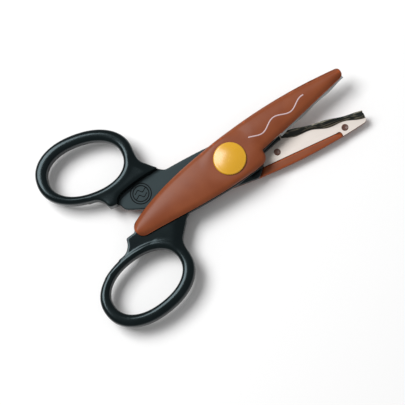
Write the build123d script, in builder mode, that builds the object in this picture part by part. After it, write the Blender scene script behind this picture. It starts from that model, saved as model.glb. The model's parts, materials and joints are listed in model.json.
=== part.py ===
from build123d import *
import os
from math import atan, cos, hypot, pi, radians, sin, tan

# Decorative edge scissors: two pivoted halves, each a black moulded handle with a brown
# leaf-shaped cover on its outer side and a wave-formed steel blade on its inner side.
#
# Each half is drawn in its own working plane: local X runs from the pivot to the blade tip,
# local Y towards the spine of the blade (the finger loop is on the other side, at -Y), and
# local Z from the mating plane outwards. The lower half is the upper half turned over about
# the line between the blades. Lengths are in millimetres, angles in degrees.

# --- opening ---
rest_half_angle = 9.2      # each blade's angle from the line between the blades, at rest
closed_half_angle = 1.2    # the same angle when the two stops meet

# --- stack, measured outwards from the mating plane ---
face_offset = 0.25         # inner face of a handle plate
plate_thickness = 3.15
blade_thickness = 0.8
cover_height = 3.6         # top of a cover above the handle plate
skirt_depth = 0.8          # how far a cover's rim reaches down beside the blade
loop_half_thickness = 3.8  # the loops are centred on the mating plane
web_depth = 3.6            # how far the web beside a loop reaches past the mating plane

# --- cover outline ---
tip_reach = 70.0
tip_top = 3.4
tip_bottom = -1.2
tip_slant = 0.5            # the tip leans back this much towards the cutting side
tip_radius = 2.1
tip_slope = 0.25           # how steeply the spine falls at the tip
half_width = 12.0          # at the widest place, beside the pivot
widest_at = 2.0
tail_reach = 58.4
tail_radius = 4.5
tail_rise = 0.5            # centre of the tail's round end, towards the spine
tail_spine_slope = 0.363
tail_edge_slope = 0.141
bulge_reach = 15.1         # the round shoulder beside the pivot, on the cutting side
bulge_radius = 4.4
shoulder_drop = 6.2        # the cutting side of the cover where it leaves the shoulder
shoulder_hollow = 0.9      # radius inside that corner
cover_wall = 1.8
cover_round = 1.6          # rounding of a cover's outer edge

# --- handle ---
plate_margin = 0.3         # the plate stands out around the cover's tail by this much
plate_front = 16.0         # the plate's front end, an arc about the pivot
nose_root = 8.0            # the plate's tongue along the cutting side starts here
nose_reach = 26.9          # and ends here, on an arc about the pivot
nose_rise = 1.6            # its upper side starts this far over the axis
nose_fall = 2.2            # and ends this far under it
nose_corner = 1.3          # upper side's end, from the tongue's end
neck_start = -28.0         # the neck of the web leaves the plate here
neck_inset = 4.6           # inside the plate's widest part, on the loop's side
neck_turn = (9.7, 12.7)    # it passes this place, from the loop's end and centre line,
neck_bend = (4.1, 8.3)     # and this one, before it runs down beside the loop
stop_corner = (1.5, 1.8)   # the stop's side turns here, from the stop's outer end and the axis
stop_foot = (4.3, 0.7)     # and here, from that end and the loop's top
stop_root = 4.3            # it meets the loop this far behind the loop's centre
loop_centre = (-69.2, -21.7)
hole_length = 39.2
hole_width = 25.4
loop_rim = 5.9
spine_rim = 4.1            # the loop is thinner on the side of the stop
oval_power = 2.18          # 2 is an ellipse, more is boxier
oval_points = 24
rim_round = 1.9
tail_clearance = 1.0       # room around the other half's tail when closed
seat_clearance = 0.15      # between a cover and the loop beside it
stop_reach = 64.1          # outer end of the stop face
stop_length = 8.7          # from the outer end to the inner one, under the cover's tail
stop_gap = 0.05            # left between the stops at the end of travel

# --- blade ---
edge_overhang = 0.45       # the cutting edge stands out past the cover
wall_start = 27.3          # the formed wall starts ahead of the tongue
wall_slope = 60.0          # angle of the wall from the flange
wave_height = 1.0          # half of the wave's full height
wave_pitch = 16.8
wave_crest = 34.0          # distance of one crest from the pivot
wall_stations = 34         # sections that the formed wall is drawn through
blade_gap = 0.15           # each blade stays this far from the wavy mating surface
blade_root = 9.0           # the flange's hidden end, under the handle plate
root_inset = 1.0           # its hidden part stays this far inside the cutting side
spine_root = 8.6           # spine edge of the flange, at the pivot
spine_fall = 0.087         # and how fast it closes on the axis
notch_reach = 56.3         # beyond this the flange is as wide as the cover
notch_radius = 1.6
notch_arch = 0.3
tip_inset = 0.15           # the blade stays this far inside the cover's tip
edge_stop = 0.7            # the cutting edge ends this far before the cover's tip
edge_turn = (1.5, 0.5)     # and turns into the tip here, from the tip and the axis
blade_clearance = 0.4

# --- rivets that hold a blade to its cover ---
rivet_places = [(23.0, 2.6), (58.5, 2.6)]
rivet_radius = 1.0
rivet_head_radius = 1.75
rivet_head_height = 0.7
rivet_head_round = 0.5
rivet_depth = 2.2

# --- pegs that locate a cover on its handle ---
peg_places = [(-20.0, 0.5), (-44.0, 1.5)]
peg_radius = 1.5
peg_depth = 1.8
peg_clearance = 0.05

# --- pivot ---
shoulder_radius = 3.0
running_clearance = 0.05
thread_radius = 2.5
thread_clearance = 0.1
slide_gap = 0.05           # between faces that turn against each other
thrust_radius = 8.0
spring_radius = 5.0
spring_thickness = 0.4
spring_cone = 0.25
washer_thickness = 0.5
counterbore_floor = 1.85   # plate left under the disc spring, from its inner face
counterbore_radius = 5.6
head_radius = 4.9
head_height = 2.0
head_chamfer = 0.4
socket_flats = 3.0
socket_depth = 1.2
nut_flats = 8.0
nut_height = 2.7
nut_floor = 1.45           # plate left under the nut, from its inner face
nut_clearance = 0.1
thread_proud = 0.8         # the screw's end stands past the nut

# --- caps over the pivot ---
cap_radius = 8.2
cap_bore = 6.4             # hole through the cover
cap_fit = 0.05
cap_stem_wall = 0.95
button_rim = 0.9           # straight side of the domed upper cap
button_dome = 1.3
rest_cap_height = 1.4      # the lower cap is flat, and the scissors rest on it
rest_cap_round = 0.6
cap_roof = 0.8             # thickness of a cap's skin under the cover's surface

# --- worked out from the sizes above ---
plate_face = face_offset + plate_thickness
cover_top = plate_face + cover_height
rest_height = cover_top + rest_cap_height
skirt_face = plate_face - skirt_depth
wave_rise = tan(radians(wall_slope))
land_width = blade_thickness / sin(radians(wall_slope))
edge_slope = (tip_bottom + shoulder_drop) / (tip_reach - tip_slant - bulge_reach)
washer_bore = shoulder_radius + 2 * running_clearance
spring_floor = face_offset + counterbore_floor + slide_gap
head_floor = spring_floor + spring_cone + spring_thickness + washer_thickness
dome_radius = -(cap_radius ** 2 + button_dome ** 2) / (2 * button_dome)


def half_plane(angle, outwards):
    """Working plane of one half: its origin is the pivot's centre on the mating plane."""
    direction = (cos(radians(angle)), sin(radians(angle)), 0)
    return Plane(origin=(0, 0, rest_height), x_dir=direction, z_dir=(0, 0, outwards))


upper_plane = half_plane(rest_half_angle, 1)
lower_plane = half_plane(-rest_half_angle, -1)
section_plane = Plane(upper_plane.origin, x_dir=(1, 0, 0), z_dir=(0, -1, 0))


def cover_edge(x):
    """Cutting side of a cover, a straight line from the shoulder to the tip."""
    return -shoulder_drop + edge_slope * (x - bulge_reach)


def mating_height(radius):
    """Height of the wavy surface that both blades shear along, over the mating plane."""
    return wave_height * cos(2 * pi * (radius - wave_crest) / wave_pitch)


def oval_point(angle, margin, spine_margin):
    """A point on the finger hole's slightly boxy oval, grown by a margin on each side."""
    reach = [abs(value) ** (2 / oval_power) * (1 if value > 0 else -1)
             for value in (cos(angle), sin(angle))]
    shift = (spine_margin - margin) / 2
    return (loop_centre[0] + (hole_length / 2 + margin) * reach[0],
            loop_centre[1] + shift + ((hole_width + spine_margin + margin) / 2) * reach[1])


# --- outlines, drawn once in a half's own axes ---


def tail_ends(margin):
    """Where the tail's round end meets the spine side and the cutting side."""
    centre_x = -tail_reach + tail_radius
    radius = tail_radius + margin
    top_turn, foot_turn = atan(tail_spine_slope), atan(tail_edge_slope)
    top = (centre_x - radius * sin(top_turn), tail_rise + radius * cos(top_turn))
    foot = (centre_x - radius * sin(foot_turn), tail_rise - radius * cos(foot_turn))
    return top, (centre_x - radius, tail_rise), foot


def leaf_outline(margin):
    """Outline of a whole cover, grown all round by a margin smaller than its corners."""
    tail_top, tail_end, tail_foot = tail_ends(margin)
    widest = (widest_at, half_width + margin)
    bulge_side = (bulge_reach + margin, bulge_radius - half_width)
    bulge_foot = (bulge_reach - bulge_radius, -half_width - margin)
    shoulder = (bulge_reach + margin, -shoulder_drop - margin)
    tip_upper = (tip_reach + margin, tip_top + margin)
    tip_lower = (tip_reach - tip_slant + margin, tip_bottom - margin)
    with BuildSketch() as outline:
        with BuildLine():
            Spline(tail_top, widest, tangents=[(1, tail_spine_slope), (1, 0)])
            Spline(widest, tip_upper, tangents=[(1, 0), (1, -tip_slope)])
            Polyline(tip_upper, tip_lower, shoulder, bulge_side)
            RadiusArc(bulge_side, bulge_foot, bulge_radius + margin)
            Spline(bulge_foot, tail_foot, tangents=[(-1, 0), (-1, tail_edge_slope)])
            ThreePointArc(tail_foot, tail_end, tail_top)
        make_face()
        corners = outline.vertices()
        fillet([corners.sort_by_distance(tip_upper)[0], corners.sort_by_distance(tip_lower)[0]],
               tip_radius + margin)
        fillet(outline.vertices().sort_by_distance(shoulder)[0], shoulder_hollow - margin)
    return outline.sketch


def tail_outline(margin):
    """The same outline behind the pivot, carried straight forward to the cover's shoulder."""
    tail_top, tail_end, tail_foot = tail_ends(margin)
    top = half_width + margin
    with BuildSketch() as outline:
        with BuildLine():
            Spline(tail_top, (widest_at, top), tangents=[(1, tail_spine_slope), (1, 0)])
            Polyline((widest_at, top), (bulge_reach + margin, top), (bulge_reach + margin, -top),
                     (bulge_reach - bulge_radius, -top))
            Spline((bulge_reach - bulge_radius, -top), tail_foot,
                   tangents=[(-1, 0), (-1, tail_edge_slope)])
            ThreePointArc(tail_foot, tail_end, tail_top)
        make_face()
    return outline.sketch


leaf = leaf_outline(0)

with BuildSketch() as plate_leaf:
    Circle(plate_front)
    with Locations((-tail_reach, 0)):
        Rectangle(2 * tail_reach, 4 * half_width)
    add(tail_outline(plate_margin), mode=Mode.INTERSECT)

# The tongue fills the space beside the blade's flange, ahead of the shoulder.
nose_line = cover_edge(nose_reach + nose_corner)
with BuildSketch() as nose:
    with BuildLine():
        Polyline((nose_root, 0), (plate_front, nose_rise), (nose_reach - nose_corner, -nose_fall),
                 (nose_reach + nose_corner, -nose_fall), (nose_reach + nose_corner, nose_line),
                 (bulge_reach, -shoulder_drop), (nose_root, -shoulder_drop), (nose_root, 0))
    make_face()
    Circle(nose_reach, mode=Mode.INTERSECT)


def oval(margin, spine_margin):
    """The finger hole's outline, grown by a margin, and by another on the side of the stop."""
    points = [oval_point(2 * pi * step / oval_points, margin, spine_margin)
              for step in range(oval_points)]
    with BuildSketch() as outline:
        with BuildLine():
            Spline(*points, periodic=True)
        make_face()
    return outline.sketch


finger_hole = oval(0, 0)
loop_outer = oval(loop_rim, spine_rim)
loop_middle = oval(loop_rim / 2, spine_rim / 2)
loop_right = loop_centre[0] + hole_length / 2 + loop_rim
loop_top = loop_centre[1] + hole_width / 2 + spine_rim
stop_slope = tan(radians(closed_half_angle))
stop_outer = (-stop_reach, stop_reach * stop_slope - stop_gap / 2)
stop_inner_x = stop_length - stop_reach
stop_inner = (stop_inner_x, -stop_inner_x * stop_slope - stop_gap / 2)
neck_top = (neck_start, neck_inset - half_width)

# The web joins the loop to the leaf. On one side it is the hollow of the neck, on the other
# the stop that meets the other half's stop when the scissors are closed.
with BuildSketch() as web:
    with BuildLine():
        Spline(neck_top, (loop_right + neck_turn[0], loop_centre[1] + neck_turn[1]),
               (loop_right + neck_bend[0], loop_centre[1] + neck_bend[1]),
               (loop_right, loop_centre[1]), tangents=[(-1, -0.1), (0, -1)])
        Polyline((loop_right, loop_centre[1]), loop_centre, (loop_centre[0] - stop_root, loop_top))
        Spline((loop_centre[0] - stop_root, loop_top),
               (-stop_reach - stop_foot[0], loop_top + stop_foot[1]),
               (-stop_reach - stop_corner[0], -stop_corner[1]), stop_outer,
               tangents=[(1, 0.05), (0.4, 1)])
        Polyline(stop_outer, stop_inner, (neck_start, tail_rise), neck_top)
    make_face()

# Room for the other half's tail: its outline turned over and swung to the closed position.
closed_turn = -2 * closed_half_angle
other_tail = Rot(0, 0, closed_turn) * mirror(tail_outline(plate_margin + tail_clearance),
                                             about=Plane.XZ)


def make_handle(frame):
    """Black moulded handle: flat plate, web with the stop, and the finger loop."""
    with BuildPart() as handle:
        with BuildSketch(frame.offset(-loop_half_thickness)):
            add(loop_outer)
            add(finger_hole, mode=Mode.SUBTRACT)
        extrude(amount=2 * loop_half_thickness)
        rims = handle.faces().sort_by(Axis.Z)
        fillet(rims[0].edges() + rims[-1].edges(), rim_round)
        with BuildSketch(frame.offset(-web_depth)):
            add(web.sketch)
            add(loop_middle, mode=Mode.SUBTRACT)
        extrude(amount=web_depth + plate_face)
        with BuildSketch(frame.offset(-loop_half_thickness)):
            add(other_tail)
        extrude(amount=loop_half_thickness + face_offset, mode=Mode.SUBTRACT)
        with BuildSketch(frame.offset(face_offset)):
            add(plate_leaf.sketch)
            add(nose.sketch)
        extrude(amount=plate_thickness)
        with BuildSketch(frame.offset(plate_face)):
            add(tail_outline(seat_clearance))
        extrude(amount=loop_half_thickness, mode=Mode.SUBTRACT)
        with BuildSketch(frame.offset(plate_face)):
            with Locations(*peg_places):
                Circle(peg_radius + peg_clearance)
        extrude(amount=-peg_depth - peg_clearance, mode=Mode.SUBTRACT)
    return handle


def make_upper_handle():
    """The upper handle turns on the screw's shoulder."""
    with BuildPart() as upper_handle:
        add(make_handle(upper_plane).part)
        with BuildSketch(upper_plane.offset(face_offset)):
            Circle(shoulder_radius + running_clearance)
        extrude(amount=plate_thickness, mode=Mode.SUBTRACT)
        with BuildSketch(upper_plane.offset(face_offset + counterbore_floor)):
            Circle(counterbore_radius)
        extrude(amount=plate_thickness, mode=Mode.SUBTRACT)
    return upper_handle


def make_lower_handle():
    """The lower handle holds the nut in a hexagonal pocket."""
    with BuildPart() as lower_handle:
        add(make_handle(lower_plane).part)
        with BuildSketch(lower_plane.offset(face_offset)):
            Circle(thread_radius + thread_clearance)
        extrude(amount=plate_thickness, mode=Mode.SUBTRACT)
        with BuildSketch(lower_plane.offset(face_offset + nut_floor)):
            RegularPolygon((nut_flats + nut_clearance) / 2, 6, major_radius=False)
        extrude(amount=plate_thickness, mode=Mode.SUBTRACT)
    return lower_handle


def blade_plan():
    """Outline of a blade seen along the pivot, from its hidden root to its tip."""
    notch = notch_reach - 2 * notch_radius
    root_spine = (blade_root, spine_root - spine_fall * blade_root)
    root_edge = root_inset - shoulder_drop
    notch_start = (notch, spine_root - spine_fall * notch)
    notch_end = (notch_reach, notch_start[1] + notch_radius)
    far_side = 2 * half_width
    with BuildSketch() as outline:
        with BuildLine():
            Polyline((blade_root, root_edge), root_spine, notch_start)
            Spline(notch_start, (notch + notch_radius, notch_start[1] - notch_arch), notch_end,
                   tangents=[(1, -spine_fall), (0.1, 1)])
            Polyline(notch_end, (notch_reach, far_side), (2 * tip_reach, far_side),
                     (2 * tip_reach, cover_edge(2 * tip_reach)),
                     (wall_start, cover_edge(wall_start) - edge_overhang),
                     (wall_start, root_edge), (blade_root, root_edge))
        make_face()
    return outline.sketch


def blade_tip():
    """What the tip's rounding leaves: the cover's outline, inset, but open to the cutting side."""
    end = tip_reach - edge_stop
    with BuildSketch() as outline:
        add(leaf_outline(-tip_inset))
        with BuildLine():
            Polyline((blade_root, 0), (tip_reach - edge_turn[0], edge_turn[1]),
                     (end, cover_edge(end) - edge_overhang), (end, -half_width),
                     (blade_root, -half_width), (blade_root, 0))
        make_face()
    return outline.sketch


def wall_section(x, crest):
    """Section across a blade: flange, bend and inclined wall, as (local Y, local Z) points.

    crest is +1 for the upper half and -1 for the lower: both edges follow one wavy surface.
    """
    edge = cover_edge(x) - edge_overhang
    inner = edge + land_width
    edge_height = crest * mating_height(hypot(x, edge)) + blade_gap
    inner_height = crest * mating_height(hypot(x, inner)) + blade_gap
    outer_face = plate_face + blade_thickness
    return [(edge, edge_height), (inner, inner_height),
            (inner + (plate_face - inner_height) / wave_rise, plate_face),
            (half_width, plate_face), (half_width, outer_face),
            (edge + (outer_face - edge_height) / wave_rise, outer_face)]


def make_blade(frame, crest):
    """Steel blade: a flat flange with an inclined wall whose cutting edge runs in waves."""
    pitch = (tip_reach - wall_start) / wall_stations
    with BuildPart() as blade:
        for step in range(wall_stations + 1):
            x = wall_start + pitch * step
            across = Plane(frame.from_local_coords((x, 0, 0)), x_dir=frame.y_dir,
                           z_dir=frame.x_dir)
            with BuildSketch(across):
                with BuildLine():
                    Polyline(*wall_section(x, crest), close=True)
                make_face()
        loft()
        with BuildSketch(frame.offset(plate_face)):
            with Locations((wall_start, 0)):
                Rectangle(wall_start - blade_root, 2 * half_width,
                          align=(Align.MAX, Align.CENTER))
        extrude(amount=blade_thickness)
        with BuildSketch(frame.offset(-2 * wave_height)):
            add(blade_plan())
            add(blade_tip(), mode=Mode.INTERSECT)
        extrude(amount=plate_face + blade_thickness + 4 * wave_height, mode=Mode.INTERSECT)
        with BuildSketch(frame.offset(plate_face)):
            with Locations(*rivet_places):
                Circle(rivet_radius)
        extrude(amount=blade_thickness, mode=Mode.SUBTRACT)
    return blade


def make_rivets(frame):
    """The two rivets of one blade: a low round head on the steel and a shank in the cover."""
    with BuildPart() as rivets:
        with BuildSketch(frame.offset(plate_face)):
            with Locations(*rivet_places):
                Circle(rivet_head_radius)
        extrude(amount=-rivet_head_height)
        heads = rivets.edges().group_by(Axis(frame.origin, frame.z_dir))[0]
        fillet(heads, rivet_head_round)
        with BuildSketch(frame.offset(plate_face)):
            with Locations(*rivet_places):
                Circle(rivet_radius)
        extrude(amount=rivet_depth)
    return rivets


def make_cover(frame):
    """Brown cover: a leaf-shaped moulding over the handle plate and the back of the blade."""
    with BuildPart() as cover:
        with BuildSketch(frame.offset(plate_face)):
            add(leaf)
        extrude(amount=cover_height)
        outer = cover.faces().sort_by(Axis(frame.origin, frame.z_dir))[-1]
        fillet(outer.edges(), cover_round)
        with BuildSketch(frame.offset(skirt_face)):
            add(leaf)
            Circle(plate_front + blade_clearance, mode=Mode.SUBTRACT)
            Rectangle(4 * tail_reach, 4 * half_width, align=(Align.MAX, Align.CENTER),
                      mode=Mode.SUBTRACT)
        extrude(amount=skirt_depth)
        with BuildSketch(frame.offset(skirt_face)):
            add(blade_room())
        extrude(amount=skirt_depth + blade_thickness, mode=Mode.SUBTRACT)
        with BuildSketch(frame.offset(plate_face)):
            add(hollow())
        extrude(amount=cover_height - cover_wall, mode=Mode.SUBTRACT)
        with BuildSketch(frame.offset(plate_face)):
            Circle(cap_bore + cover_wall)
        extrude(amount=cover_height - cover_wall)
        with BuildSketch(frame.offset(plate_face - peg_depth)):
            with Locations(*peg_places):
                Circle(peg_radius)
        extrude(amount=peg_depth + cover_height - cover_wall)
        with BuildSketch(frame.offset(plate_face)):
            Circle(cap_bore)
        extrude(amount=cover_height, mode=Mode.SUBTRACT)
        with BuildSketch(frame.offset(plate_face)):
            with Locations(*rivet_places):
                Circle(rivet_radius)
        extrude(amount=rivet_depth, mode=Mode.SUBTRACT)
    return cover


def blade_room():
    """Recess for the blade in a cover, open to the cutting side."""
    with BuildSketch() as outline:
        with Locations((tip_reach, 0)):
            Rectangle(tip_reach - blade_root + blade_clearance, 4 * half_width,
                      align=(Align.MAX, Align.CENTER))
        with BuildLine():
            strip = blade_clearance
            notch = notch_reach - 2 * notch_radius
            Polyline((0, spine_root + strip), (notch, spine_root - spine_fall * notch + strip),
                     (notch_reach - strip, spine_root - spine_fall * notch + notch_radius),
                     (notch_reach - strip, 2 * half_width), (0, 2 * half_width),
                     (0, spine_root + strip))
        make_face(mode=Mode.SUBTRACT)
    return outline.sketch


def hollow():
    """Hollow inside a cover, over the handle plate."""
    with BuildSketch() as outline:
        add(tail_outline(-cover_wall))
        Rectangle(2 * tip_reach, 4 * half_width, align=(Align.MIN, Align.CENTER),
                  mode=Mode.SUBTRACT)
    return outline.sketch


def ring(frame, low, high, outer, inner):
    """A washer-shaped part between two heights over the mating plane."""
    with BuildPart() as washer:
        with BuildSketch(frame.offset(low)):
            Circle(outer)
            Circle(inner, mode=Mode.SUBTRACT)
        extrude(amount=high - low)
    return washer


def make_disc_spring():
    """Conical spring washer that keeps the two blades pressed together."""
    with BuildPart() as disc_spring:
        with BuildSketch(section_plane):
            with BuildLine():
                inner_floor = spring_floor + spring_cone
                Polyline((washer_bore, inner_floor), (spring_radius, spring_floor),
                         (spring_radius, spring_floor + spring_thickness),
                         (washer_bore, inner_floor + spring_thickness), close=True)
            make_face()
        revolve(axis=Axis(section_plane.origin, (0, 0, 1)))
    return disc_spring


def make_screw():
    """Shoulder screw: head over the upper plate, shoulder as the axle, thread in the nut."""
    with BuildPart() as pivot_screw:
        with BuildSketch(upper_plane.offset(-face_offset)):
            Circle(shoulder_radius)
        extrude(amount=face_offset + head_floor)
        with BuildSketch(upper_plane.offset(head_floor)):
            Circle(head_radius)
        extrude(amount=head_height)
        chamfer(pivot_screw.edges().sort_by(Axis.Z)[-1], head_chamfer)
        with BuildSketch(upper_plane.offset(head_floor + head_height - socket_depth)):
            RegularPolygon(socket_flats / 2, 6, major_radius=False)
        extrude(amount=socket_depth, mode=Mode.SUBTRACT)
        with BuildSketch(upper_plane.offset(-face_offset)):
            Circle(thread_radius)
        extrude(amount=-(nut_floor + nut_height + thread_proud))
    return pivot_screw


def make_nut():
    """Hexagonal nut, held from turning by the lower handle."""
    with BuildPart() as pivot_nut:
        with BuildSketch(lower_plane.offset(face_offset + nut_floor)):
            RegularPolygon(nut_flats / 2, 6, major_radius=False)
            Circle(thread_radius, mode=Mode.SUBTRACT)
        extrude(amount=nut_height)
    return pivot_nut


def cap_stem(frame):
    """Ring under a cap that plugs into the hole in its cover, and the roof across it."""
    with BuildPart() as stem:
        with BuildSketch(frame.offset(plate_face + slide_gap)):
            Circle(cap_bore - cap_fit)
            Circle(cap_bore - cap_fit - cap_stem_wall, mode=Mode.SUBTRACT)
        extrude(amount=cover_height - slide_gap)
        with BuildSketch(frame.offset(cover_top - cap_roof)):
            Circle(cap_bore - cap_fit)
        extrude(amount=cap_roof)
    return stem


def make_upper_cap():
    """Yellow button over the screw's head, slightly domed."""
    with BuildPart() as upper_cap:
        add(cap_stem(upper_plane).part)
        with BuildSketch(section_plane):
            with BuildLine():
                rim = (cap_radius, cover_top + button_rim)
                crown = (0, cover_top + button_rim + button_dome)
                RadiusArc(rim, crown, dome_radius)
                Polyline(crown, (0, cover_top), (cap_radius, cover_top), rim)
            make_face()
        revolve(axis=Axis(section_plane.origin, (0, 0, 1)))
    return upper_cap


def make_lower_cap():
    """Yellow cap over the nut, flat so that the scissors rest on it."""
    with BuildPart() as lower_cap:
        add(cap_stem(lower_plane).part)
        with BuildSketch(lower_plane.offset(cover_top)):
            Circle(cap_radius)
        extrude(amount=rest_cap_height)
        fillet(lower_cap.edges().sort_by(Axis.Z)[0], rest_cap_round)
    return lower_cap


os.makedirs("parts", exist_ok=True)


def write(piece, name):
    """Label a finished piece and write its STEP file."""
    piece.part.label = name
    export_step(piece.part, f"parts/{name}.step")
    print(f"{name}: {len(piece.part.solids())} solid(s), {piece.part.volume:.0f} mm3")


write(make_lower_handle(), "lower_handle")
write(make_upper_handle(), "upper_handle")
for half, frame, crest in (("lower", lower_plane, -1), ("upper", upper_plane, 1)):
    write(make_blade(frame, crest), f"{half}_blade")
    write(make_rivets(frame), f"{half}_blade_rivets")
    write(make_cover(frame), f"{half}_cover")
write(ring(upper_plane, -face_offset, face_offset - slide_gap, thrust_radius, washer_bore),
      "thrust_washer")
write(make_disc_spring(), "disc_spring")
write(ring(upper_plane, head_floor - washer_thickness, head_floor, spring_radius, washer_bore),
      "head_washer")
write(make_screw(), "pivot_screw")
write(make_nut(), "pivot_nut")
write(make_upper_cap(), "upper_cap")
write(make_lower_cap(), "lower_cap")
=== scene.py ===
# %% [markdown]
# # Decorative edge scissors
# The scissors have two halves on one pivot. Each half is a black moulded handle, a brown
# leaf-shaped cover on its outer side and a steel blade whose cutting edge runs in waves. The
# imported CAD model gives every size, place and joint, and stays fixed. This lesson gives each
# part its real surface: soft moulded corners, a crowned cover, brushed steel, a printed line.

import json
from math import cos, pi, radians, sin, sqrt

import bmesh
import bpy
import numpy as np
from mathutils import Matrix, Vector
from mathutils.bvhtree import BVHTree


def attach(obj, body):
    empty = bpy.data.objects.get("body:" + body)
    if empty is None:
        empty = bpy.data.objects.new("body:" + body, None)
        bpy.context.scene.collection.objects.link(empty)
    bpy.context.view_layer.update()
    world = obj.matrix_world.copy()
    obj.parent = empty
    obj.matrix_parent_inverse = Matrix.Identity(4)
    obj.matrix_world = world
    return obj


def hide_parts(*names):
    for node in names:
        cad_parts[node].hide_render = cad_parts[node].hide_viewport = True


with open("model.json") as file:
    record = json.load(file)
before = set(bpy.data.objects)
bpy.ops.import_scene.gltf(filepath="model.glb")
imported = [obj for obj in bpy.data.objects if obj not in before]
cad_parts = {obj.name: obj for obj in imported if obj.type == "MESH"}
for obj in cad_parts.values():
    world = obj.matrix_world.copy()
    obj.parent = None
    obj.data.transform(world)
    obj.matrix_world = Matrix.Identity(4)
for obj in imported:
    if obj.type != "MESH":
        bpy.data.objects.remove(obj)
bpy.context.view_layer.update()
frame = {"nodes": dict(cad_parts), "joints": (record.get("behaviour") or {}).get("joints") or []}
pivot = Vector(frame["joints"][0]["pos_m"])

# %% [markdown]
# ## Axes of one half
# Both halves are the same drawing. One lies as drawn and the other is turned over about the
# line between the blades. A piece is therefore modelled once, in millimetres, in a half's own
# axes: X runs from the pivot to the tip, Y to the spine of the blade and Z outwards from the
# plane where the blades meet. A matrix then carries it to its place in the frame, in metres.

# %% A matrix from each half's own axes to the frame
REST_HALF_ANGLE = 9.2
SIDES = {"upper": 1, "lower": -1}


def half_matrix(half):
    """From a half's own axes, in millimetres, to the frame, in metres."""
    side = SIDES[half]
    angle = radians(side * REST_HALF_ANGLE)
    along = Vector((cos(angle), sin(angle), 0))
    outwards = Vector((0, 0, side))
    spread = Matrix((along, outwards.cross(along), outwards)).transposed().to_4x4()
    return Matrix.Translation(pivot) @ spread @ Matrix.Scale(0.001, 4)


def finish_piece(bm, name, half, material):
    """Carry a bmesh to its place, make it an object and let it ride on its half."""
    bmesh.ops.transform(bm, matrix=half_matrix(half), verts=bm.verts)
    mesh = bpy.data.meshes.new(name)
    bm.to_mesh(mesh)
    bm.free()
    mesh.shade_smooth()
    piece = bpy.data.objects.new(name, mesh)
    bpy.context.scene.collection.objects.link(piece)
    mesh.materials.append(material)
    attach(piece, f"{half}_half")
    print(f"{name}: {len(mesh.polygons)} faces")
    return piece


# %% [markdown]
# ## Sizes of the drawing
# These are the few sizes that the looks need again: the heights of the layers, the radius of
# the caps and the places of the rivets, in millimetres. The rest is read from the frame.

# %% Sizes, in a half's own axes
FACE = 0.25            # inner face of a handle plate
PLATE_FACE = 3.4       # its outer face, and the inner face of the blade's flange
COVER_TOP = 7.0
CAP_RADIUS = 8.2
RIVETS = ((23.0, 2.6), (58.5, 2.6))

# %% [markdown]
# ## Materials: what the finishes share
# Moulded plastic is never a flat colour. The mould leaves a fine grain, and the colour drifts a
# little where the melt flowed. Both effects are one node group, used by every plastic with its
# own values. A second group finds the ridges from the mesh's own curvature, where a lighter
# colour is painted as a highlight.

# %% Helpers for node trees
FIRST_COLOUR, SECOND_COLOUR, MIXED_COLOUR = 6, 7, 2      # colour sockets of a Mix node


def srgb(red, green, blue):
    """A colour as a paint chart gives it, 0 to 255, as Blender's linear values."""
    parts = [value / 255 for value in (red, green, blue)]
    linear = [part / 12.92 if part <= 0.04045 else ((part + 0.055) / 1.055) ** 2.4
              for part in parts]
    return (*linear, 1.0)


def add_node(tree, kind, values=(), **settings):
    """A node with its settings, and its sockets set or linked by name."""
    node = tree.nodes.new(kind)
    for name, value in settings.items():
        setattr(node, name, value)
    for socket, value in dict(values).items():
        if isinstance(value, bpy.types.NodeSocket):
            tree.links.new(value, node.inputs[socket])
        else:
            node.inputs[socket].default_value = value
    return node


def calculate(tree, operation, *numbers):
    """A Math node's result, from plain numbers or other nodes' outputs."""
    return add_node(tree, "ShaderNodeMath", dict(enumerate(numbers)),
                    operation=operation).outputs[0]


def ramp(tree, value, start, end):
    """0 where a value is at start, 1 where it is at end, and a straight ramp between."""
    return add_node(tree, "ShaderNodeMapRange", {
        "Value": value, "From Min": start, "From Max": end}).outputs["Result"]


def swing(tree, value, middle, reach):
    """A value from 0 to 1, made to swing by a reach about a middle."""
    return add_node(tree, "ShaderNodeMapRange", {
        "Value": value, "To Min": middle - reach, "To Max": middle + reach}).outputs["Result"]


def mix_colours(tree, factor, first, second):
    """A mix of two colours, each a fixed one or another node's output."""
    return add_node(tree, "ShaderNodeMix", {
        "Factor": factor, FIRST_COLOUR: first, SECOND_COLOUR: second},
        data_type="RGBA").outputs[MIXED_COLOUR]


def new_group(name, inputs, outputs):
    """An empty shader node group with named inputs and outputs, and its two end nodes."""
    tree = bpy.data.node_groups.new(name, "ShaderNodeTree")
    for socket, default in inputs.items():
        made = tree.interface.new_socket(name=socket, in_out="INPUT", socket_type="NodeSocketFloat")
        made.default_value = default
    for socket in outputs:
        tree.interface.new_socket(name=socket, in_out="OUTPUT", socket_type="NodeSocketFloat")
    return tree, add_node(tree, "NodeGroupInput"), add_node(tree, "NodeGroupOutput")


def place_group(tree, group, values):
    """One use of a node group in a material."""
    node = tree.nodes.new("ShaderNodeGroup")
    node.node_tree = group
    for socket, value in values.items():
        node.inputs[socket].default_value = value
    return node


# %% Moulded grain: fine height and slow drift of tone
grain_group, grain_in, grain_out = new_group(
    "Moulded grain", {"Grains per metre": 3500.0, "Drift per metre": 90.0}, ("Height", "Drift"))
place_of = add_node(grain_group, "ShaderNodeTexCoord").outputs["Object"]
fine = add_node(grain_group, "ShaderNodeTexNoise", {
    "Vector": place_of, "Scale": grain_in.outputs["Grains per metre"], "Detail": 2.0,
    "Roughness": 0.6})
slow = add_node(grain_group, "ShaderNodeTexNoise", {
    "Vector": place_of, "Scale": grain_in.outputs["Drift per metre"], "Detail": 3.0})
grain_group.links.new(fine.outputs["Fac"], grain_out.inputs["Height"])
grain_group.links.new(slow.outputs["Fac"], grain_out.inputs["Drift"])
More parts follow.
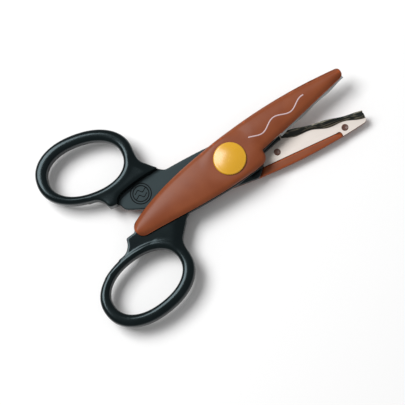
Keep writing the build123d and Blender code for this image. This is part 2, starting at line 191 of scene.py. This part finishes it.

# %% Painted ridge highlight: lighter where the surface is more curved than flat
ridge_group, ridge_in, ridge_out = new_group(
    "Painted ridge highlight", {"From": 0.52, "To": 0.60}, ("Mask",))
curvature = add_node(ridge_group, "ShaderNodeNewGeometry").outputs["Pointiness"]
ridge = add_node(ridge_group, "ShaderNodeMapRange", {
    "Value": curvature, "From Min": ridge_in.outputs["From"], "From Max": ridge_in.outputs["To"]},
    interpolation_type="SMOOTHSTEP")
ridge_group.links.new(ridge.outputs["Result"], ridge_out.inputs["Mask"])

# %% [markdown]
# ## Moulded plastic
# One function makes every plastic here. The drift mixes two close colours, the ridges mix in a
# lighter one as a painted highlight, and the grain drives a bump. Roughness drifts too, because
# a mould's polish is uneven. Numbers that are the same all over are set on the shader's own
# sockets.

# %% A moulded plastic
DRIFT_RANGE = (0.35, 0.65)       # the part of the drift noise that moves between the colours
ROUGHNESS_DRIFT = 0.05


def plastic(name, dark, light, ridge_highlight, roughness, grains, depth, ridges=(0.52, 0.60), coat=0.0,
            gloss=0.5):
    """A plastic with drifting colour, lighter ridges as a painted highlight, and a moulded grain.
    """
    material = bpy.data.materials.new(name)
    material.use_nodes = True
    tree = material.node_tree
    shader = tree.nodes["Principled BSDF"]
    grain = place_group(tree, grain_group, {"Grains per metre": grains})
    ridge_highlight_mask = place_group(tree, ridge_group, {"From": ridges[0], "To": ridges[1]})
    drift = grain.outputs["Drift"]
    body = mix_colours(tree, ramp(tree, drift, *DRIFT_RANGE), dark, light)
    # The ridges are mixed to a lighter colour: a painted highlight along the edges.
    colour = mix_colours(tree, ridge_highlight_mask.outputs["Mask"], body, ridge_highlight)
    bump = add_node(tree, "ShaderNodeBump", {
        "Height": grain.outputs["Height"], "Strength": 1.0, "Distance": depth})
    tree.links.new(colour, shader.inputs["Base Color"])
    tree.links.new(swing(tree, drift, roughness, ROUGHNESS_DRIFT), shader.inputs["Roughness"])
    tree.links.new(bump.outputs["Normal"], shader.inputs["Normal"])
    shader.inputs["Specular IOR Level"].default_value = gloss
    shader.inputs["Coat Weight"].default_value = coat
    shader.inputs["Coat Roughness"].default_value = 0.12
    print(f"{name}: a plastic of roughness {roughness}")
    return material


# %% The plastics of the covers, caps, rivets, ring and print
# The third colour of each plastic is the painted highlight on its ridges.
cover_brown = plastic("cover_brown", srgb(123, 62, 34), srgb(131, 69, 39), srgb(152, 74, 38),
                      roughness=0.38, grains=2400.0, depth=0.00003, ridges=(0.506, 0.53),
                      gloss=0.19)
cap_yellow = plastic("cap_yellow", srgb(208, 155, 30), srgb(213, 161, 34), srgb(222, 172, 48),
                     roughness=0.28, grains=1500.0, depth=0.000006, coat=0.05)
rivet_brown = plastic("rivet_brown", srgb(78, 46, 36), srgb(92, 56, 43), srgb(132, 84, 66),
                      roughness=0.4, grains=3000.0, depth=0.00001)
nylon_white = plastic("nylon_white", srgb(222, 220, 210), srgb(230, 228, 220),
                      srgb(236, 235, 228), roughness=0.5, grains=2500.0, depth=0.000006)
print_white = plastic("print_white", srgb(186, 156, 160), srgb(196, 168, 172),
                      srgb(204, 180, 182), roughness=0.4, grains=2500.0, depth=0.000002)

# %% [markdown]
# ## The black handle: polished loops, matt inner faces
# The tool for the handles is polished where fingers touch, and spark-eroded to a fine matt on
# the flat faces that slide past each other. Two materials on one piece would show a hard seam,
# so one material holds both. The flat faces are found by their place: they face up or down
# within a millimetre of the mating plane, from just ahead of the pivot back to the step.

# %% Black plastic with two finishes
MATT_REACH = 0.0009        # the matt faces lie closer to the mating plane than this
MATT_SOFT = 0.6            # and are fully matt at this share of it
MATT_FACING = (0.75, 0.95)       # how squarely they face up or down
MATT_FRONT = 0.006         # and end this far ahead of the pivot
MATT_SIDE = 0.0244         # and at the step beside the loop's web,
MATT_SLOPE = 0.246         # a line that leans by this much
MATT_GREY = srgb(38, 47, 49)
MATT_ROUGHER = 0.35


def handle_plastic():
    """Glossy black all over, with a greyer, rougher finish on the flat inner faces."""
    # Its third colour is the painted highlight on the ridges.
    material = plastic("handle_black", srgb(6, 12, 13), srgb(10, 17, 18), srgb(18, 28, 30),
                       roughness=0.17, grains=2600.0, depth=0.000002, gloss=0.24)
    tree = material.node_tree
    shader = tree.nodes["Principled BSDF"]
    shader.inputs["Specular Tint"].default_value = (0.72, 0.93, 1.0, 1.0)
    where = add_node(tree, "ShaderNodeTexCoord")
    place = add_node(tree, "ShaderNodeSeparateXYZ", {"Vector": where.outputs["Object"]})
    facing = add_node(tree, "ShaderNodeSeparateXYZ", {"Vector": where.outputs["Normal"]})
    away = calculate(tree, "ABSOLUTE", calculate(tree, "SUBTRACT", place.outputs["Z"], pivot.z))
    upright = calculate(tree, "ABSOLUTE", facing.outputs["Z"])
    across = calculate(tree, "ABSOLUTE", place.outputs["Y"])
    line = calculate(tree, "MULTIPLY_ADD", place.outputs["X"], -MATT_SLOPE, across)
    matt = ramp(tree, away, MATT_REACH, MATT_REACH * MATT_SOFT)
    for mask in (ramp(tree, upright, *MATT_FACING),
                 ramp(tree, place.outputs["X"], MATT_FRONT, MATT_FRONT - 0.002),
                 ramp(tree, line, MATT_SIDE, MATT_SIDE - 0.0006)):
        matt = calculate(tree, "MULTIPLY", matt, mask)
    glossy, polish = (shader.inputs[name].links[0].from_socket
                      for name in ("Base Color", "Roughness"))
    tree.links.new(mix_colours(tree, matt, glossy, MATT_GREY), shader.inputs["Base Color"])
    tree.links.new(calculate(tree, "MULTIPLY_ADD", matt, MATT_ROUGHER, polish),
                   shader.inputs["Roughness"])
    return material


handle_black = handle_plastic()
mark_black = plastic("mark_black", srgb(4, 6, 7), srgb(7, 9, 10), srgb(12, 15, 16),
                     roughness=0.4, grains=2600.0, depth=0.000004, gloss=0.08)

# %% [markdown]
# ## Brushed steel
# Blade stock is rolled and belt-ground, so fine streaks run one way. A noise squeezed along one
# axis makes them. The formed wall beside the cutting edge leans and mirrors what lies beside it,
# so its colour is painted darker than the flange's: a painted reflection and shade. It is found
# by its place: it reaches from the flange towards the mating plane. The surface's normal then
# tells its inner side, with a dark streaky painted reflection, from its outer side, with a
# lighter painted shade.

# %% Streaks of a belt-ground face
streak_group, streak_in, streak_out = new_group(
    "Ground streaks", {"Streaks per metre": 3000.0, "Turn": 0.0}, ("Height", "Tone"))
turned = add_node(streak_group, "ShaderNodeVectorRotate", {
    "Vector": add_node(streak_group, "ShaderNodeTexCoord").outputs["Object"],
    "Angle": streak_in.outputs["Turn"]}, rotation_type="Z_AXIS")
squeezed = add_node(streak_group, "ShaderNodeMapping", {
    "Vector": turned.outputs["Vector"], "Scale": (1.0, 0.04, 1.0)})
streak = add_node(streak_group, "ShaderNodeTexNoise", {
    "Vector": squeezed.outputs["Vector"], "Scale": streak_in.outputs["Streaks per metre"],
    "Detail": 2.0})
cloud = add_node(streak_group, "ShaderNodeTexNoise", {
    "Vector": squeezed.outputs["Vector"], "Scale": 1100.0, "Detail": 2.0})
streak_group.links.new(streak.outputs["Fac"], streak_out.inputs["Height"])
streak_group.links.new(cloud.outputs["Fac"], streak_out.inputs["Tone"])

# %% Steel and zinc
WALL_REACH = (0.00335, 0.0031)   # the wall begins this far from the mating plane, in metres
WALL_FACING = (-0.1, 0.0)        # its outer side faces more outwards than this
CLOUD_RANGE = (0.5, 0.66)        # the part of the cloud noise that moves between two tones
STREAK_ROUGHNESS = 0.08
STREAK_DEPTH = 0.000006


def metal(name, bright, painted_reflection_band, shade, roughness, turn=0.0, inner=1, metallic=1.0):
    """A ground metal with streaks, and painted reflection and shade on a leaning wall's two sides.
    """
    material = bpy.data.materials.new(name)
    material.use_nodes = True
    tree = material.node_tree
    shader = tree.nodes["Principled BSDF"]
    streaks = place_group(tree, streak_group, {"Turn": turn})
    where = add_node(tree, "ShaderNodeTexCoord")
    place = add_node(tree, "ShaderNodeSeparateXYZ", {"Vector": where.outputs["Object"]})
    facing = add_node(tree, "ShaderNodeSeparateXYZ", {"Vector": where.outputs["Normal"]})
    away = calculate(tree, "ABSOLUTE", calculate(tree, "SUBTRACT", place.outputs["Z"], pivot.z))
    inwards = calculate(tree, "MULTIPLY", facing.outputs["Z"], inner)
    wall = ramp(tree, away, *WALL_REACH)
    inner_side = calculate(tree, "MULTIPLY", wall, ramp(tree, inwards, *WALL_FACING))
    outer_side = calculate(tree, "SUBTRACT", wall, inner_side)
    # The wall's inner side is painted a dark streaky reflection, its outer side a lighter painted
    # shade.
    painted_reflection = mix_colours(tree, ramp(tree, streaks.outputs["Tone"], *CLOUD_RANGE), *painted_reflection_band)
    flange = mix_colours(tree, outer_side, bright, shade)
    bump = add_node(tree, "ShaderNodeBump", {
        "Height": streaks.outputs["Height"], "Distance": STREAK_DEPTH})
    tree.links.new(mix_colours(tree, inner_side, flange, painted_reflection), shader.inputs["Base Color"])
    tree.links.new(swing(tree, streaks.outputs["Height"], roughness, STREAK_ROUGHNESS),
                   shader.inputs["Roughness"])
    tree.links.new(bump.outputs["Normal"], shader.inputs["Normal"])
    shader.inputs["Metallic"].default_value = metallic
    print(f"{name}: a metal of roughness {roughness}")
    return material


# Each pair of colours is the painted reflection on a wall's inner side, the next the painted shade
# on its outer side.
blade_steel = {half: metal(f"blade_steel_{half}", srgb(206, 198, 191),
                           (srgb(20, 28, 26), srgb(128, 122, 104)), srgb(172, 180, 182),
                           roughness=0.55, turn=radians(90 - side * REST_HALF_ANGLE),
                           inner=-side, metallic=0.55)
               for half, side in SIDES.items()}
zinc = metal("zinc_hardware", srgb(178, 178, 172), (srgb(150, 150, 146), srgb(168, 168, 160)),
             srgb(160, 160, 155), roughness=0.3)

# %% [markdown]
# ## CAD pieces whose shape is right
# The blades, the screw, the nut, the washers and the spring are already exact. They could be
# modelled again, but their edges and clearances would gain nothing, so they stay as they are
# and only their material slots change.

# %% Better materials on the CAD pieces that stay
KEPT = {"upper_blade": blade_steel["upper"], "lower_blade": blade_steel["lower"],
        "pivot_screw": zinc, "pivot_nut": zinc, "disc_spring": zinc, "head_washer": zinc,
        "thrust_washer": nylon_white}
for node, material in KEPT.items():
    slots = frame["nodes"][node].material_slots
    for slot in slots:
        slot.material = material
    print(node, "has", len(slots), "material slot(s)")

# %% [markdown]
# ## Soft moulded corners
# An injection moulding has no sharp corner: the tool's cutter and the melt round them all, and
# a step flows into the face beside it. The CAD solid has the right outline and walls, so a
# merged copy of it is the start. A voxel remesh turns it into even little squares, any extra
# lip joins it there, and a few rounds of smoothing roll every corner by about a millimetre.

# %% Remesh a copy of a CAD piece into an even, soft-cornered moulding
VOXEL = 0.35
CORNER_ROUNDS = 6


def smooth_points(bm, points):
    """One round of smoothing of some of a mesh's points."""
    bmesh.ops.smooth_vert(bm, verts=points, factor=0.5, use_axis_x=True, use_axis_y=True,
                          use_axis_z=True)


def cad_copy(node, half):
    """A CAD piece's mesh, merged, in its half's own axes."""
    bm = bmesh.new()
    bm.from_mesh(frame["nodes"][node].data)
    bmesh.ops.remove_doubles(bm, verts=bm.verts, dist=0.000002)
    bmesh.ops.transform(bm, matrix=half_matrix(half).inverted(), verts=bm.verts)
    return bm


def soften(bm):
    """Even squares all over, with their corners rolled by rounds of smoothing."""
    rough = bpy.data.meshes.new("rough")
    bm.to_mesh(rough)
    bm.clear()
    holder = bpy.data.objects.new("rough", rough)
    bpy.context.scene.collection.objects.link(holder)
    remesh = holder.modifiers.new("Even squares", "REMESH")
    remesh.mode = "VOXEL"
    remesh.voxel_size = VOXEL
    ready = holder.evaluated_get(bpy.context.evaluated_depsgraph_get())
    even = bpy.data.meshes.new_from_object(ready)
    bm.from_mesh(even)
    bpy.data.objects.remove(holder)
    bpy.data.meshes.remove(rough)
    bpy.data.meshes.remove(even)
    for _ in range(CORNER_ROUNDS):
        smooth_points(bm, bm.verts)
    return bm


def ease(value, start, end):
    """0 before start, 1 after end, and a smooth ramp between."""
    share = min(max((value - start) / (end - start), 0.0), 1.0)
    return share * share * (3 - 2 * share)


# %% [markdown]
# ## The handles
# Each handle is one black moulding: a flat plate under the cover, a web, and a fat round finger
# loop. On the real one the web isn't flat: it is scooped out between the roll around the finger
# hole and the roll along the neck. The scoop is a smooth move of the web's own points.

# %% Handles, with the scoop in the web
SCOOP_DEPTH = 1.1
SCOOP_FROM = Vector((-37.5, -11.0))
SCOOP_TO = Vector((-43.5, -17.5))
SCOOP_RADIUS = 4.2
SCOOP_SKIN = (1.0, 3.0)    # it grows from nothing to full depth at these heights
NECK = -31.0               # the web lies behind the neck,
WEB_UNDER = -0.2           # and is below the mating plane
WEB_SIDE = -8.0            # or on the loop's side of the axis
WEB_ROUNDS = 24


def distance_to_line(point, start, end):
    """Distance from a point to the straight stretch between two others."""
    span = end - start
    share = min(max((point - start).dot(span) / span.length_squared, 0.0), 1.0)
    return (point - start - span * share).length


def scoop_web(bm):
    """Lower both faces of the web between its two rolls."""
    for vertex in bm.verts:
        point = vertex.co
        away = distance_to_line(point.xy, SCOOP_FROM, SCOOP_TO)
        if abs(point.z) > SCOOP_SKIN[0] and away < SCOOP_RADIUS:
            share = (1 - ease(away, 0.0, SCOOP_RADIUS)) * ease(abs(point.z), *SCOOP_SKIN)
            point.z -= SCOOP_DEPTH * (share if point.z > 0 else -share)


def roll_web(bm):
    """Roll the corners of the web and the step much more than the plate's."""
    for _ in range(WEB_ROUNDS):
        smooth_points(bm, [vertex for vertex in bm.verts if vertex.co.x < NECK and (
            vertex.co.z < WEB_UNDER or vertex.co.y < WEB_SIDE)])


for half in SIDES:
    handle_bm = soften(cad_copy(f"{half}_handle", half))
    scoop_web(handle_bm)
    roll_web(handle_bm)
    handle = finish_piece(handle_bm, f"{half}_handle_moulding", half, handle_black)
    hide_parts(f"{half}_handle")

# %% [markdown]
# ## The mark on the inner face
# The flat inner face carries a small moulded mark. Here it is a plain double ring around two
# waves, which says what the tool cuts. Each line is a thin round bar, half sunk in the face: a
# ring is a small circle spun about the mark's centre, and a wave is a thin cylinder, cut into
# short lengths and bent. A flat picture would be quicker, but it would have no edge to catch
# the light.

# %% Two rings and two waves, half sunk in the face
MARK_CENTRE = Vector((-47.3, -0.6))
MARK_RINGS = (5.2, 4.0)
MARK_LINE = 0.3
MARK_DEPTH = 0.1
MARK_REACH = 3.0           # a wave runs this far to each side of the centre,
MARK_SWING = 0.7           # rises and falls by this
MARK_SPREAD = 1.3          # and lies this far above or below it


def join(bm, part):
    """Add one bmesh to another and free it."""
    mesh = bpy.data.meshes.new("part")
    part.to_mesh(mesh)
    part.free()
    bm.from_mesh(mesh)
    bpy.data.meshes.remove(mesh)


def mark_ring(radius):
    """A thin torus about the mark's centre."""
    ring = bmesh.new()
    section = bmesh.ops.create_circle(ring, segments=8, radius=MARK_LINE)["verts"]
    bmesh.ops.rotate(ring, verts=section, cent=(0, 0, 0), matrix=Matrix.Rotation(pi / 2, 3, "X"))
    bmesh.ops.translate(ring, verts=section, vec=(radius, 0, 0))
    bmesh.ops.spin(ring, geom=ring.verts[:] + ring.edges[:], cent=(0, 0, 0), axis=(0, 0, 1),
                   angle=2 * pi, steps=72, use_merge=True)
    return ring


def mark_wave(across):
    """A thin bar that runs in one and a half waves, closed at its ends."""
    wave = bmesh.new()
    bmesh.ops.create_cone(wave, cap_ends=True, segments=8, radius1=MARK_LINE, radius2=MARK_LINE,
                          depth=2 * MARK_REACH)
    bmesh.ops.rotate(wave, verts=wave.verts, cent=(0, 0, 0), matrix=Matrix.Rotation(pi / 2, 3, "Y"))
    lengths = [edge for edge in wave.edges if edge.calc_length() > MARK_REACH]
    bmesh.ops.subdivide_edges(wave, edges=lengths, cuts=30)
    for vertex in wave.verts:
        vertex.co.y += across + MARK_SWING * sin(vertex.co.x * 1.5 * pi / MARK_REACH)
    return wave


for half in SIDES:
    mark_bm = bmesh.new()
    for across in (-MARK_SPREAD, MARK_SPREAD):
        join(mark_bm, mark_wave(across))
    for radius in MARK_RINGS:
        join(mark_bm, mark_ring(radius))
    bmesh.ops.translate(mark_bm, verts=mark_bm.verts, vec=(*MARK_CENTRE, FACE + MARK_DEPTH))
    bmesh.ops.recalc_face_normals(mark_bm, faces=mark_bm.faces)
    mark = finish_piece(mark_bm, f"{half}_moulded_mark", half, mark_black)

# %% [markdown]
# ## The covers
# A cover is a thin leaf-shaped shell. Its top is crowned, gets thinner towards the tip and the
# tail, and stays level under the yellow cap. A narrow band beside each edge rolls over like a
# quarter round. Along the cutting side a lip reaches down beside the blade. The lip is a small
# section pulled along the edge, and the remesh melts it into the shell. A bevel would stop at
# the leaf's facets, so the crown and the roll are a smooth move of the outer points instead.

# %% The lip beside the blade
CUTTING_SLOPE = 0.0922     # the cutting side closes on the axis by this much per millimetre
SHOULDER = Vector((15.1, -6.2))
LIP_START, LIP_END = 27.6, 68.0
LIP_FOOT, LIP_ROOT = 1.9, 4.6
FOOT_WIDTH, ROOT_WIDTH = 0.55, 1.3


def cutting_side(x):
    """Where the cutting side of a cover lies, across the half."""
    return SHOULDER.y + CUTTING_SLOPE * (x - SHOULDER.x)


def add_lip(bm):
    """Pull the lip's section from the tongue to the tip."""
    start = cutting_side(LIP_START)
    section = [bm.verts.new((LIP_START, start + across, height)) for across, height in
               ((0.0, LIP_FOOT), (FOOT_WIDTH, LIP_FOOT), (ROOT_WIDTH, LIP_ROOT),
                (0.0, LIP_ROOT))]
    face = bm.faces.new(section)
    pulled = bmesh.ops.extrude_face_region(bm, geom=[face], use_keep_orig=True)
    far = [item for item in pulled["geom"] if isinstance(item, bmesh.types.BMVert)]
    bmesh.ops.translate(bm, verts=far,
                        vec=(LIP_END - LIP_START, cutting_side(LIP_END) - start, 0))
    lip_faces = {f for vertex in section + far for f in vertex.link_faces}
    bmesh.ops.recalc_face_normals(bm, faces=list(lip_faces))


# %% The crown of the cover
CROWN = 1.2                # the edges lie this much lower than the middle
EDGE_BAND = 2.8            # and a band this wide rolls over beside them
EDGE_ROLL = 1.3            # by this much
TIP_FALL, TAIL_FALL = 1.3, 0.9
TIP_RANGE, TAIL_RANGE = (15, 70), (15, 58)       # each fall grows over this stretch
LEVEL_RADIUS = CAP_RADIUS + 0.5
LEVEL_FADE = 7.0


def leaf_edges(bm):
    """Lowest and highest Y of the cover for each millimetre along X, evened out."""
    places = np.array([vertex.co[:] for vertex in bm.verts])
    start = int(np.floor(places[:, 0].min()))
    slot = (places[:, 0] - start).astype(int)
    low = np.full(slot.max() + 1, np.inf)
    high = np.full(slot.max() + 1, -np.inf)
    np.minimum.at(low, slot, places[:, 1])
    np.maximum.at(high, slot, places[:, 1])
    blur = np.ones(5) / 5
    low, high = (np.convolve(np.pad(edge, 2, mode="edge"), blur, mode="valid")
                 for edge in (low, high))
    return start, low, high


def crown_cover(bm):
    """Crown the outer side of a cover, thin its ends and keep it level under the cap."""
    start, low, high = leaf_edges(bm)
    stations = np.arange(len(low))
    for vertex in bm.verts:
        point = vertex.co
        if point.z < LIP_ROOT:
            continue
        at = point.x - start - 0.5
        foot, head = np.interp(at, stations, low), np.interp(at, stations, high)
        width = max(head - foot, 1.0)
        across = min(abs(2 * point.y - foot - head) / width, 1.0)
        roll = max(1 - (1 - across) * width / 2 / EDGE_BAND, 0.0)
        fall = CROWN * across ** 2 + EDGE_ROLL * (1 - sqrt(1 - roll ** 2))
        fall += TIP_FALL * ease(point.x, *TIP_RANGE) + TAIL_FALL * ease(-point.x, *TAIL_RANGE)
        fall *= ease(point.xy.length, LEVEL_RADIUS, LEVEL_RADIUS + LEVEL_FADE)
        point.z -= fall * (point.z - LIP_ROOT) / (COVER_TOP - LIP_ROOT)


cover_tops = {}
for half in SIDES:
    cover_bm = cad_copy(f"{half}_cover", half)
    add_lip(cover_bm)
    soften(cover_bm)
    crown_cover(cover_bm)
    cover_tops[half] = BVHTree.FromBMesh(cover_bm)
    cover = finish_piece(cover_bm, f"{half}_cover_shell", half, cover_brown)
    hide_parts(f"{half}_cover")

# %% [markdown]
# ## The printed line
# The wave that the scissors cut is printed on the cover. It is real geometry: a thin strip is
# laid out as a grid, bent into the wave, dropped onto the crowned cover and given a thickness.

# %% A thin strip of ink that follows the cover
PRINT_START, PRINT_END = 13.6, 48.0
PRINT_MIDDLE = 1.55
PRINT_SWING = 1.5
PRINT_PITCH = 17.5
PRINT_CREST = 29.2
PRINT_WIDTH = 0.6
INK = 0.05
ABOVE_ALL = 20.0           # the strip is dropped from here


def wave_of(x):
    """The printed wave's height across the half and its slope."""
    turn = 2 * pi * (x - PRINT_CREST) / PRINT_PITCH
    return PRINT_MIDDLE + PRINT_SWING * cos(turn), -PRINT_SWING * 2 * pi / PRINT_PITCH * sin(turn)


print_bm = bmesh.new()
bmesh.ops.create_grid(print_bm, x_segments=120, y_segments=2, size=0.5)
for vertex in print_bm.verts:
    x = PRINT_START + (vertex.co.x + 0.5) * (PRINT_END - PRINT_START)
    y, slope = wave_of(x)
    square = Vector((-slope, 1.0)).normalized() * vertex.co.y * PRINT_WIDTH
    start = Vector((x + square.x, y + square.y, ABOVE_ALL))
    spot, _, _, _ = cover_tops["upper"].ray_cast(start, Vector((0, 0, -1)))
    vertex.co = spot + Vector((0, 0, INK))
bmesh.ops.recalc_face_normals(print_bm, faces=print_bm.faces)
bmesh.ops.solidify(print_bm, geom=print_bm.faces[:], thickness=INK * 2)
bmesh.ops.recalc_face_normals(print_bm, faces=print_bm.faces)
printed_wave = finish_piece(print_bm, "printed_wave", "upper", print_white)

# %% [markdown]
# ## Turned pieces: the caps and the rivet heads
# A round piece is a section spun about its axis. The section is a short line of points, from the
# middle outwards and down the side, and a full spin with its ends merged closes it. A cylinder
# with a bevel would also do, but the section gives the dome, the rim and the stem in one go.

# %% Spin a section about the outward axis


def turned_piece(section, centre=(0.0, 0.0), steps=96):
    """Spin (radius, height) points about the Z axis at a centre."""
    bm = bmesh.new()
    points = [bm.verts.new((radius, 0.0, height)) for radius, height in section]
    edges = [bm.edges.new(pair) for pair in zip(points, points[1:])]
    bmesh.ops.spin(bm, geom=points + edges, cent=(0, 0, 0), axis=(0, 0, 1), angle=2 * pi,
                   steps=steps, use_merge=True)
    bmesh.ops.remove_doubles(bm, verts=bm.verts, dist=0.0005)
    bmesh.ops.recalc_face_normals(bm, faces=bm.faces)
    bmesh.ops.translate(bm, verts=bm.verts, vec=(*centre, 0))
    return bm


def arc(centre, radius, start, end, steps):
    """Points of an arc, by angles in degrees."""
    return [(centre[0] + radius * cos(radians(start + (end - start) * step / steps)),
             centre[1] + radius * sin(radians(start + (end - start) * step / steps)))
            for step in range(steps + 1)]


# %% The domed upper cap
CAP_FOOT = 5.6
CAP_ROOF = 6.2
STEM_FOOT = 3.6
STEM_OUTER, STEM_INNER = 6.3, 5.4
BUTTON_TOP = 9.2
BUTTON_EDGE = 7.95
EDGE_ROUND = 0.7
dome = [(radius, BUTTON_TOP - (BUTTON_TOP - BUTTON_EDGE) * (radius / CAP_RADIUS) ** 2.2)
        for radius in np.linspace(0.0, CAP_RADIUS - EDGE_ROUND, 14)]
rim = arc((CAP_RADIUS - EDGE_ROUND, dome[-1][1] - EDGE_ROUND), EDGE_ROUND, 80, 0, 6)
stem = [(CAP_RADIUS, CAP_FOOT), (STEM_OUTER, CAP_FOOT), (STEM_OUTER, STEM_FOOT),
        (STEM_INNER, STEM_FOOT), (STEM_INNER, CAP_ROOF), (0.0, CAP_ROOF)]
upper_cap = finish_piece(turned_piece(dome + rim + stem), "upper_cap_button", "upper", cap_yellow)
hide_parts("upper_cap")

# %% The flat lower cap, with a shallow recess
FLAT_TOP = 8.4
RECESS = 0.25
lower_section = ([(0.0, FLAT_TOP - RECESS), (5.6, FLAT_TOP - RECESS), (5.9, FLAT_TOP)]
                 + arc((CAP_RADIUS - EDGE_ROUND, FLAT_TOP - EDGE_ROUND), EDGE_ROUND, 90, 0, 6)
                 + stem)
lower_cap = finish_piece(turned_piece(lower_section), "lower_cap_button", "lower", cap_yellow)
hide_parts("lower_cap")

# %% Rivet heads with a shallow dish
SHANK_END = 5.5
SHANK_RADIUS = 0.95
DISH = [(0.0, 3.52), (0.5, 3.48), (0.95, 3.36), (1.2, 3.38)]
RIVET_SECTION = (DISH + arc((1.45, PLATE_FACE), 0.28, -100, 0, 5)
                 + [(1.75, PLATE_FACE), (SHANK_RADIUS, PLATE_FACE), (SHANK_RADIUS, SHANK_END),
                    (0.0, SHANK_END)])
for half in SIDES:
    heads = bmesh.new()
    for centre in RIVETS:
        join(heads, turned_piece(RIVET_SECTION, centre, steps=40))
    rivets = finish_piece(heads, f"{half}_rivet_heads", half, rivet_brown)
    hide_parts(f"{half}_blade_rivets")

# %% [markdown]
# ## The stage
# A pale floor under the rest face, a wide soft light from behind and to the left, and a bright
# even surround, so that the shadows are soft and fall towards the front and right.

# %% Floor, surround, lights
FLOOR_REACH = 3.0
PAPER = (0.9, 0.9, 0.9, 1.0)
SURROUND = 0.38
floor_bm = bmesh.new()
bmesh.ops.create_grid(floor_bm, x_segments=1, y_segments=1, size=FLOOR_REACH)
floor_mesh = bpy.data.meshes.new("floor")
floor_bm.to_mesh(floor_mesh)
floor_bm.free()
floor = bpy.data.objects.new("floor", floor_mesh)
bpy.context.scene.collection.objects.link(floor)
paper = bpy.data.materials.new("floor_paper")
paper.use_nodes = True
paper_shader = paper.node_tree.nodes["Principled BSDF"]
paper_shader.inputs["Base Color"].default_value = PAPER
paper_shader.inputs["Roughness"].default_value = 0.9
floor_mesh.materials.append(paper)

world = bpy.data.worlds.new("surround")
world.use_nodes = True
surround = world.node_tree.nodes["Background"]
surround.inputs["Color"].default_value = (1, 1, 1, 1)
surround.inputs["Strength"].default_value = SURROUND
bpy.context.scene.world = world


def softbox(name, toward, distance, size, power):
    """A rectangular light that faces the middle of the scissors from a direction."""
    lamp = bpy.data.lights.new(name, "AREA")
    lamp.shape = "RECTANGLE"
    lamp.size, lamp.size_y = size
    lamp.energy = power
    light = bpy.data.objects.new(name, lamp)
    direction = Vector(toward).normalized()
    light.location = direction * distance
    light.rotation_euler = direction.to_track_quat("Z", "Y").to_euler()
    bpy.context.scene.collection.objects.link(light)
    print(f"{name}: {power} W from {distance} m")


softbox("key", toward=(-0.50, 0.74, 1.36), distance=1.4, size=(0.76, 0.68), power=19.8)

# %% [markdown]
# ## The camera
# The camera looks steeply down at the scissors from the handle side, 13 degrees off the
# vertical, and is rolled so that the line between the blades climbs to the right.

# %% Camera at the viewing angle
VIEW_TILT = 12.9
VIEW_ROLL = 29.0
VIEW_TARGET = Vector((-0.0221, -0.0104, 0.0058))
VIEW_DISTANCE = 1.0
VIEW_WIDTH = 0.1998
SENSOR = 36.0
camera_data = bpy.data.cameras.new("camera")
camera = bpy.data.objects.new("camera", camera_data)
bpy.context.scene.collection.objects.link(camera)
tilt, roll = radians(VIEW_TILT), radians(VIEW_ROLL)
towards_camera = Vector((0, -sin(tilt), cos(tilt)))
back = Vector((0, cos(tilt), sin(tilt)))
right = cos(roll) * Vector((1, 0, 0)) - sin(roll) * back
up = sin(roll) * Vector((1, 0, 0)) + cos(roll) * back
camera.matrix_world = (Matrix.Translation(VIEW_TARGET + towards_camera * VIEW_DISTANCE)
                       @ Matrix((right, up, towards_camera)).transposed().to_4x4())
camera_data.sensor_width = SENSOR
camera_data.lens = SENSOR * VIEW_DISTANCE / VIEW_WIDTH
bpy.context.scene.camera = camera
bpy.context.scene.view_settings.view_transform = "Standard"
